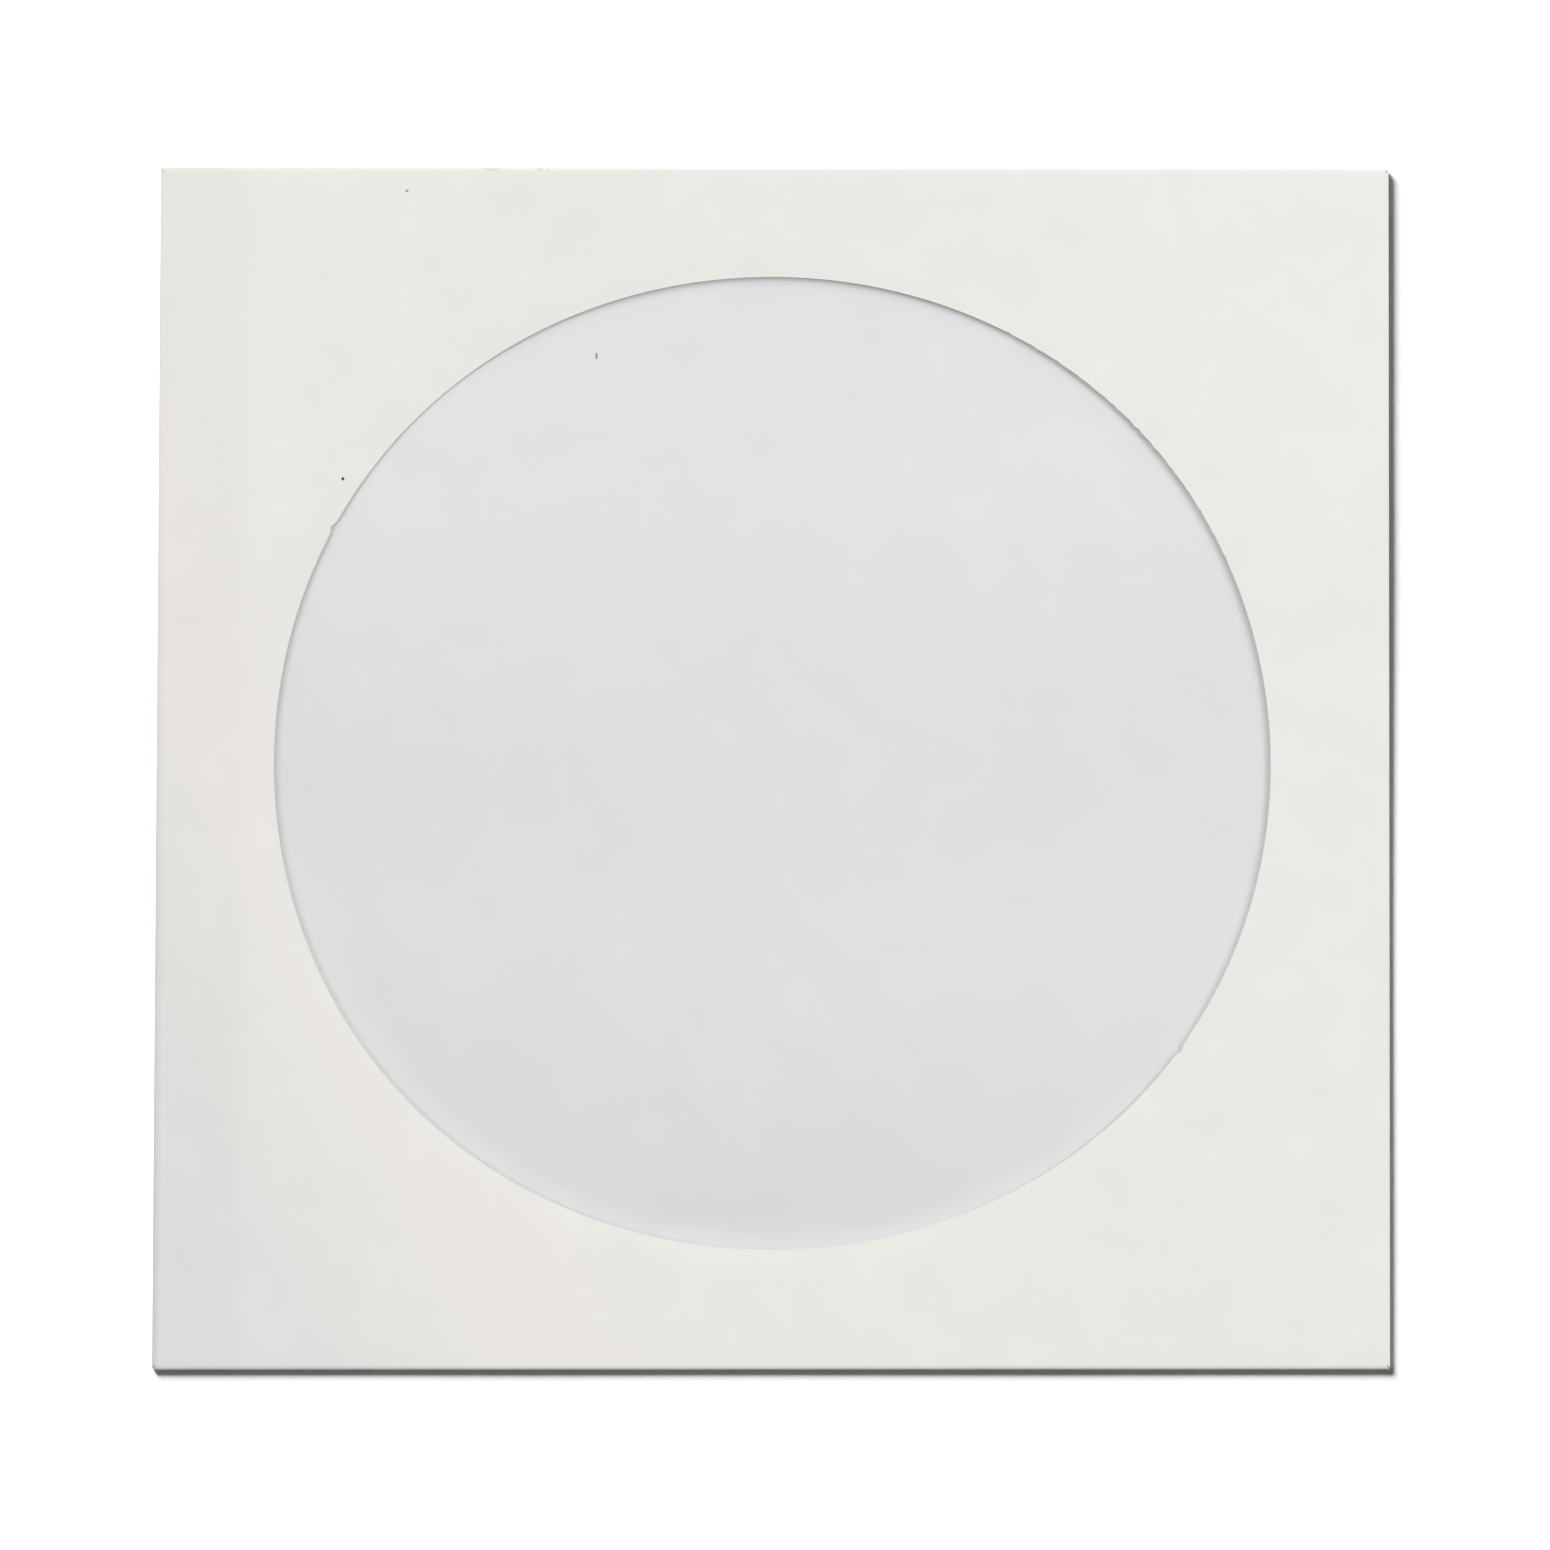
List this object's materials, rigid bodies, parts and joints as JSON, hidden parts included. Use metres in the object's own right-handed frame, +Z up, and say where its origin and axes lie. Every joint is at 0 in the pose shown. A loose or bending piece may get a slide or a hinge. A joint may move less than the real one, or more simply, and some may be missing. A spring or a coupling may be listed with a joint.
{
  "type": "cd sleeve",
  "caption": "Square white paper sleeve for one compact disc, with a large round clear film window in front, side seams, and a tapered closure flap folded behind.",
  "frame": {"origin": "middle of the underside, on the table that the sleeve lies on", "axes": "+X across the front panel to the right side fold, +Y towards the mouth and the top fold, +Z up out of the front panel"},
  "size_m": [0.125, 0.125, 0.001],
  "materials": {
    "paper": "uncoated white paper, matt and faintly fibrous",
    "film": "clear glossy polypropylene film"
  },
  "bodies": {
    "root": {"paper_sleeve": "paper", "window_film": "film"}
  },
  "joints": []
}
